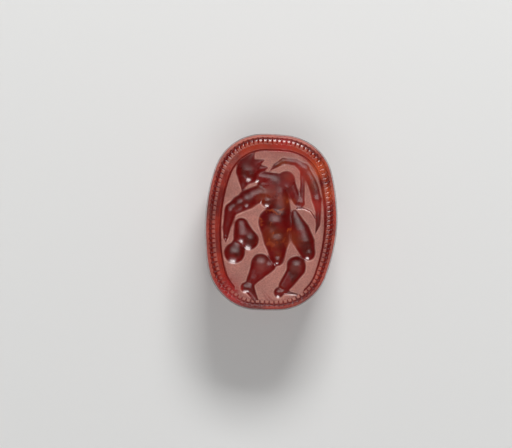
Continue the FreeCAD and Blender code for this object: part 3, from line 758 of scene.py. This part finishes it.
wear = use_group(tree, wear_group, {"Place": place, **FACE_WEAR})
grain_shade = eased(tree, wear["Grain"], *GRAIN_RANGE, *GRAIN_SHADES)
haze_color = node(tree, "ShaderNodeVectorMath", {0: HAZE[:3], "Scale": grain_shade},
                  operation="SCALE").outputs["Vector"]
haze_share = eased(tree, noise(tree, place, HAZE_SCALE), *GRAIN_RANGE, *HAZE_SHARES)
up = node(tree, "ShaderNodeSeparateXYZ", {"Vector": place}).outputs["Y"]
border_haze = times(eased(tree, edge, *BORDER_HAZE), eased(tree, edge, *CLEAR_CORNER))
border_haze = times(border_haze, eased(tree, up, *LOW_HAZE))
rope_band = times(eased(tree, edge, *ROPE_OUTSIDE), eased(tree, edge, *ROPE_INSIDE))
rope_haze = times(rope_band, eased(tree, up, *ROPE_HAZE))
border_haze = combined(tree, "ADD", border_haze, rope_haze)
# Painted light: the rim is made paler towards the top, where the light falls on its bevel.
top_lit_haze = times(rim, eased(tree, up, *TOP_LIT_HAZE))
border_haze = combined(tree, "ADD", border_haze, top_lit_haze)
haze_share = between(tree, border, haze_share, border_haze)
for haze_change in HAZE_CHANGES:
    haze_share = combined(tree, "ADD", haze_share, patch_mask(*haze_change))
flat = eased(tree, depth, *FLAT_DEPTH)
haze_share = combined(tree, "MAXIMUM", times(haze_share, flat), 0.0)
# Worn haze and painted highlight: a pale line along the top edges of the cuts.
lip_glint_share = times(noted(tree, "lip"), eased(tree, noise(tree, place, LIP_SCALE), *SOFT_RANGE, *LIP_SHARES))
surface = mixed(tree, haze_share, clear_color, haze_color)
surface = mixed(tree, lip_glint_share, surface, EDGE_HAZE_AND_GLINT)
surface = mixed(tree, edge_shade, surface, RIM_PAINTED_SHADE)
tree.links.new(surface, shader.inputs["Base Color"])

rough = eased(tree, wear["Grain"], *GRAIN_RANGE, *WORN_ROUGHNESS)
polish = eased(tree, noise(tree, place, POLISH_SCALE), *SOFT_RANGE, *POLISHED_ROUGHNESS)
dull = times(eased(tree, edge, *BAND_INSIDE), times(border, sunk))
for dull_cut in DULL_CUTS:
    dull = combined(tree, "MAXIMUM", dull, patch_mask(*dull_cut))
polish = between(tree, dull, polish, DULL_ROUGHNESS)
tree.links.new(between(tree, haze_share, polish, rough), shader.inputs["Roughness"])
cut_shine = eased(tree, upright, *CUT_SHINE)
cut_shine = times(cut_shine, eased(tree, dull, 0.0, 1.0, 1.0, DULL_SHINE_SHARE))
cut_shine = times(cut_shine, eased(tree, times(border, flat), 0.0, 1.0, 1.0, BORDER_SHINE_SHARE))
tree.links.new(between(tree, rim, cut_shine, RIM_SHINE), shader.inputs["Specular IOR Level"])
relief = combined(tree, "SUBTRACT", wear["Grain"], wear["Scratches"])
add_bump(tree, shader, times(relief, flat), FACE_BUMP)
finish_piece(base_mesh, "sealing_base", face_stone, "seal_base")

# Underbody: the middle of the stone, set in from the base all round and pierced from end to
# end for the string. It is part of the one stone, ground smooth but less finely polished.
BACK_DEEP = (0.120, 0.0070, 0.0045, 1)
BACK_RED = (0.240, 0.0150, 0.0080, 1)
BACK_AMBER = (0.320, 0.0360, 0.0110, 1)
BACK_CLOUDS_SCALE = 0.22
BACK_WEAR = {"Grain Scale": 5.0, "Scratch Scale": 4.0}
BACK_WORN_SHARE = 0.08
BACK_ROUGHNESS = (0.13, 0.25)
BACK_SHINE = 0.32
BACK_GRAIN_SHARE = 0.5
BACK_BUMP = 0.2

back_stone, tree, shader, place = new_stone("polished_carnelian")
back_color = use_group(tree, clouds_group, {
    "Place": place, "Scale": BACK_CLOUDS_SCALE,
    "Deep": BACK_DEEP, "Red": BACK_RED, "Amber": BACK_AMBER})["Color"]
wear = use_group(tree, wear_group, {"Place": place, **BACK_WEAR})
worn_share = combined(tree, "MULTIPLY", wear["Scratches"], BACK_WORN_SHARE)
tree.links.new(mixed(tree, worn_share, back_color, EDGE_HAZE_AND_GLINT), shader.inputs["Base Color"])
rough = eased(tree, wear["Grain"], *GRAIN_RANGE, *BACK_ROUGHNESS)
tree.links.new(rough, shader.inputs["Roughness"])
shader.inputs["Specular IOR Level"].default_value = BACK_SHINE
relief = combined(tree, "MULTIPLY", wear["Grain"], BACK_GRAIN_SHARE)
relief = combined(tree, "SUBTRACT", relief, wear["Scratches"])
add_bump(tree, shader, relief, BACK_BUMP)

BODY_GRAIN = 0.07
BODY_TRIANGLES = 60000
BODY_INSET = 0.95
BORE_RADIUS = 0.7
BORE_AROUND = 64
SMOOTHING = ("SMOOTH", {"factor": SMOOTH_FACTOR, "iterations": 10})


def thinned(mesh, most):
    """The mesh brought down to about a number of triangles."""
    count = sum(len(face.vertices) - 2 for face in mesh.polygons)
    return with_modifiers(mesh, ("DECIMATE", {"ratio": min(1.0, most / count)}))


underbody_low, underbody_high = (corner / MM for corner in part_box("underbody"))
block = oval_body([
    (BODY_INSET, 0.0, underbody_low.z, 0.0),
    (BODY_INSET, 0.0, underbody_high.z, 0.0),
], BASE_AROUND)
block_mesh = bpy.data.meshes.new("underbody")
block.to_mesh(block_mesh)
bore = bmesh.new()
bmesh.ops.create_cone(bore, cap_ends=True, segments=BORE_AROUND, radius1=BORE_RADIUS,
                      radius2=BORE_RADIUS, depth=3 * half_length,
                      matrix=Matrix.Rotation(math.pi / 2, 4, "X"))
bore_mesh = bpy.data.meshes.new("bore")
bore.to_mesh(bore_mesh)
bore_tool = bpy.data.objects.new("bore", bore_mesh)
scene.collection.objects.link(bore_tool)
underbody_mesh = with_modifiers(
    block_mesh,
    ("BOOLEAN", {"object": bore_tool, "operation": "DIFFERENCE", "solver": "EXACT"}),
    ("REMESH", {"mode": "VOXEL", "voxel_size": BODY_GRAIN}),
    SMOOTHING,
)
bpy.data.objects.remove(bore_tool)
underbody_mesh = thinned(underbody_mesh, BODY_TRIANGLES)
finish_piece(underbody_mesh, "pierced_underbody", back_stone, "underbody")

# Legs: three on each side, left standing in relief on the underbody by cutting the stone
# back round them, with their edges rounded over.
LEG_GRAIN = 0.03
LEG_TRIANGLES = 12000
JOINED_WITHIN = 0.001
SOFTER = ("SMOOTH", {"factor": SMOOTH_FACTOR, "iterations": 40})


def copy_of(name):
    """A merged copy of a CAD node's mesh, in millimetres."""
    bm = bmesh.new()
    bm.from_mesh(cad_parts[name].data)
    bmesh.ops.scale(bm, vec=(1 / MM,) * 3, verts=bm.verts)
    bmesh.ops.remove_doubles(bm, verts=bm.verts, dist=JOINED_WITHIN)
    return bm


for side in ("left", "right"):
    for leg in ("front_leg", "middle_leg", "hind_leg"):
        leg_mesh = even_skin(copy_of(f"{leg}_{side}"), leg, LEG_GRAIN)
        leg_mesh = with_modifiers(leg_mesh, SOFTER)
        finish_piece(thinned(leg_mesh, LEG_TRIANGLES), f"{side}_{leg}", back_stone, f"{leg}_{side}")

# Back: the beetle's domed wing cases and thorax, turned smooth and set apart by cut lines,
# with a short slanting line at each shoulder.
BACK_GRAIN = 0.05
BACK_TRIANGLES = 45000
BACK_RINGS = 24
BACK_INSET = 0.1
CREST_CORNER = 0.3
CREST_SHIFT = -0.4
CREST_SHORTENING_SHARE = 0.12
CREST_SHORTENING = CREST_SHORTENING_SHARE * 2 * half_length
LINE_ACROSS = 0.2
LINE_INTO = 0.14
WINGLET_PLACE = 2.6
WINGLET_REACH = 4.0
WINGLET_TURN = math.radians(120)
FORWARD = (0, 1, 0)
BACKWARD = (0, -1, 0)
RIGHTWARD = (1, 0, 0)
LEFTWARD = (-1, 0, 0)
shoulder = underbody_low.z
back_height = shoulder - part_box("wing_case_left")[0].z / MM
thorax_low, thorax_high = (corner.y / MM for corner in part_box("thorax"))


def dome_rings(inset, height):
    """Rings of a dome below the legs that is round in profile and ends in a small flat."""
    for angle in np.linspace(0, math.pi / 2, BACK_RINGS):
        drawn = 1 - math.cos(angle)
        ring_inset = inset * (1 - drawn) + drawn * (CORNER_RADIUS - CREST_CORNER)
        ring_height = shoulder - math.sin(angle) * height
        yield ring_inset, drawn * CREST_SHORTENING, ring_height, drawn * CREST_SHIFT


def line_cut(x, y, start, end):
    """Depth of a line cut between two places, at each point."""
    run = np.subtract(end, start)
    along = np.clip(((x - start[0]) * run[0] + (y - start[1]) * run[1]) / (run @ run), 0, 1)
    away = np.hypot(x - start[0] - along * run[0], y - start[1] - along * run[1])
    return LINE_INTO * np.clip(1 - (away / (LINE_ACROSS / 2)) ** 2, 0, None)


def carved(mesh, lines):
    """Sinks the lines into the underside of a dome."""
    points = points_of(mesh)
    normals = np.zeros(len(mesh.vertices) * 3)
    mesh.vertex_normals.foreach_get("vector", normals)
    normals = normals.reshape(-1, 3)
    depth = np.max([line_cut(points[:, 0], points[:, 1], *line) for line in lines], axis=0)
    depth *= points[:, 2] < shoulder - LINE_INTO
    set_points(mesh, points - normals * depth[:, None])


def zone(mesh, cuts):
    """The part of a closed mesh behind some planes, each a place and the way that is cut off."""
    bm = bmesh.new()
    bm.from_mesh(mesh)
    for place, off in cuts:
        everything = bm.verts[:] + bm.edges[:] + bm.faces[:]
        cut = bmesh.ops.bisect_plane(bm, geom=everything, plane_co=place, plane_no=off, clear_outer=True)
        edges = [item for item in cut["geom_cut"] if isinstance(item, bmesh.types.BMEdge)]
        bmesh.ops.triangle_fill(bm, use_beauty=True, edges=edges)
    bmesh.ops.recalc_face_normals(bm, faces=bm.faces)
    mesh_part = bpy.data.meshes.new(mesh.name)
    bm.to_mesh(mesh_part)
    bm.free()
    return mesh_part


back_lines = [
    ((0.0, -2 * half_length), (0.0, thorax_low)),
    ((-2 * half_width, thorax_low), (2 * half_width, thorax_low)),
    ((-2 * half_width, thorax_high), (2 * half_width, thorax_high)),
]
for hand in (1, -1):
    start = (-hand * WINGLET_PLACE, thorax_low)
    lean = math.pi / 2 + hand * WINGLET_TURN
    end = (start[0] + WINGLET_REACH * math.cos(lean), start[1] + WINGLET_REACH * math.sin(lean))
    back_lines.append((start, end))
dome = oval_body(list(dome_rings(BACK_INSET, back_height)), BASE_AROUND)
back_mesh = even_skin(dome, "back", BACK_GRAIN)
back_mesh = with_modifiers(back_mesh, SMOOTHING)
carved(back_mesh, back_lines)
for side, off in (("left", RIGHTWARD), ("right", LEFTWARD)):
    case_mesh = zone(back_mesh, [((0, thorax_low, 0), FORWARD), ((0, 0, 0), off)])
    case_mesh = thinned(case_mesh, BACK_TRIANGLES)
    finish_piece(case_mesh, f"{side}_wing_case", back_stone, f"wing_case_{side}")
thorax_mesh = zone(back_mesh, [((0, thorax_low, 0), BACKWARD), ((0, thorax_high, 0), FORWARD)])
finish_piece(thinned(thorax_mesh, BACK_TRIANGLES), "beetle_thorax", back_stone, "thorax")

# Head: a lower dome before the thorax that narrows forwards, with a round eye on each side,
# and before it the thin shield with its four teeth.
HEAD_GRAIN = 0.03
HEAD_TRIANGLES = 60000
for node_name, piece_name in (("head", "beetle_head"), ("head_shield", "toothed_shield")):
    head_mesh = even_skin(copy_of(node_name), node_name, HEAD_GRAIN)
    head_mesh = with_modifiers(head_mesh, SOFTER)
    finish_piece(thinned(head_mesh, HEAD_TRIANGLES), piece_name, back_stone, node_name)

# Floor, light and camera: a pale paper floor in a room with pale walls, lit by a soft box
# beyond the top of the stone and by a bright patch overhead, and seen from straight above.
STONE_PIXEL = (270.7, 222.4)
FRAME_PIXELS = (512, 448)
PIXELS_PER_MM = 11.76
STONE_TURN = math.radians(2.76)
CAMERA_HEIGHT = 600
FLOOR_REACH = 1500
FLOOR_COLOR = (0.83, 0.83, 0.82, 1)
FLOOR_SQUARES = 4
FLOOR_ROUGHNESS = 0.9
FLOOR_SHINE = 0.1
CEILING = 0.05
WALLS = 1.75
WALL_TOP = (0.22, 0.50)
HORIZON = (0.0, 0.2)
PATCH_STRENGTH = 3.9
PATCH_NEAR = (0.02, 0.14)
PATCH_FAR = (0.68, 0.26)
PATCH_SIDE = (0.48, 0.10)
BOX_DISTANCE = 260
BOX_RISE = math.radians(46)
BOX_SIDE = math.radians(8)
BOX_SIZE = (100, 72)
BOX_POWER = 0.435
NEAREST_SEEN = 0.01
FARTHEST_SEEN = 10

floor_bm = bmesh.new()
bmesh.ops.create_grid(
    floor_bm, x_segments=FLOOR_SQUARES, y_segments=FLOOR_SQUARES, size=FLOOR_REACH * MM
)
floor_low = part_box("wing_case_left")[0].z
bmesh.ops.translate(floor_bm, verts=floor_bm.verts, vec=(0, 0, floor_low))
floor_mesh = bpy.data.meshes.new("floor")
floor_bm.to_mesh(floor_mesh)
floor_bm.free()
floor = bpy.data.objects.new("floor", floor_mesh)
scene.collection.objects.link(floor)
paper = bpy.data.materials.new("paper")
paper.use_nodes = True
paper_shader = paper.node_tree.nodes["Principled BSDF"]
paper_shader.inputs["Base Color"].default_value = FLOOR_COLOR
paper_shader.inputs["Roughness"].default_value = FLOOR_ROUGHNESS
paper_shader.inputs["Specular IOR Level"].default_value = FLOOR_SHINE
floor_mesh.materials.append(paper)

world = bpy.data.worlds.new("ceiling")
scene.world = world
world.use_nodes = True
sky = world.node_tree
sky.nodes.clear()
direction = node(sky, "ShaderNodeTexCoord").outputs["Generated"]
across, along, rise = node(sky, "ShaderNodeSeparateXYZ", {"Vector": direction}).outputs
toward_viewer = combined(sky, "MULTIPLY", along, -1.0)
patch = eased(sky, toward_viewer, *PATCH_NEAR)
patch = combined(sky, "MULTIPLY", patch, eased(sky, toward_viewer, *PATCH_FAR))
aside = combined(sky, "ABSOLUTE", across, 0.0)
patch = combined(sky, "MULTIPLY", patch, eased(sky, aside, *PATCH_SIDE))
patch = combined(sky, "MULTIPLY", patch, eased(sky, rise, *HORIZON))
room = eased(sky, rise, *WALL_TOP, WALLS, CEILING)
glow = combined(sky, "ADD", room, combined(sky, "MULTIPLY", patch, PATCH_STRENGTH))
background = node(sky, "ShaderNodeBackground", {"Strength": glow})
sky_output = node(sky, "ShaderNodeOutputWorld")
sky.links.new(background.outputs["Background"], sky_output.inputs["Surface"])

box_light = bpy.data.lights.new("soft_box", "AREA")
box_light.shape = "RECTANGLE"
box_light.size, box_light.size_y = (side * MM for side in BOX_SIZE)
box_light.energy = BOX_POWER
soft_box = bpy.data.objects.new("soft_box", box_light)
scene.collection.objects.link(soft_box)
toward = Vector((
    math.sin(BOX_SIDE) * math.cos(BOX_RISE),
    math.cos(BOX_SIDE) * math.cos(BOX_RISE),
    math.sin(BOX_RISE),
))
soft_box.location = toward * BOX_DISTANCE * MM
soft_box.rotation_euler = toward.to_track_quat("Z", "Y").to_euler()

camera_data = bpy.data.cameras.new("camera")
camera = bpy.data.objects.new("camera", camera_data)
scene.collection.objects.link(camera)
scene.camera = camera
camera_data.lens = CAMERA_HEIGHT * camera_data.sensor_width * PIXELS_PER_MM / FRAME_PIXELS[0]
camera_data.clip_start = NEAREST_SEEN
camera_data.clip_end = FARTHEST_SEEN
off_right = (FRAME_PIXELS[0] / 2 - STONE_PIXEL[0]) / PIXELS_PER_MM
off_up = (STONE_PIXEL[1] - FRAME_PIXELS[1] / 2) / PIXELS_PER_MM
turn = Matrix.Rotation(STONE_TURN, 4, "Z")
camera.location = turn @ Vector((off_right, off_up, 0)) * MM
camera.location.z = (face_height + CAMERA_HEIGHT) * MM
camera.rotation_euler = (0, 0, STONE_TURN)
scene.view_settings.view_transform = "Standard"
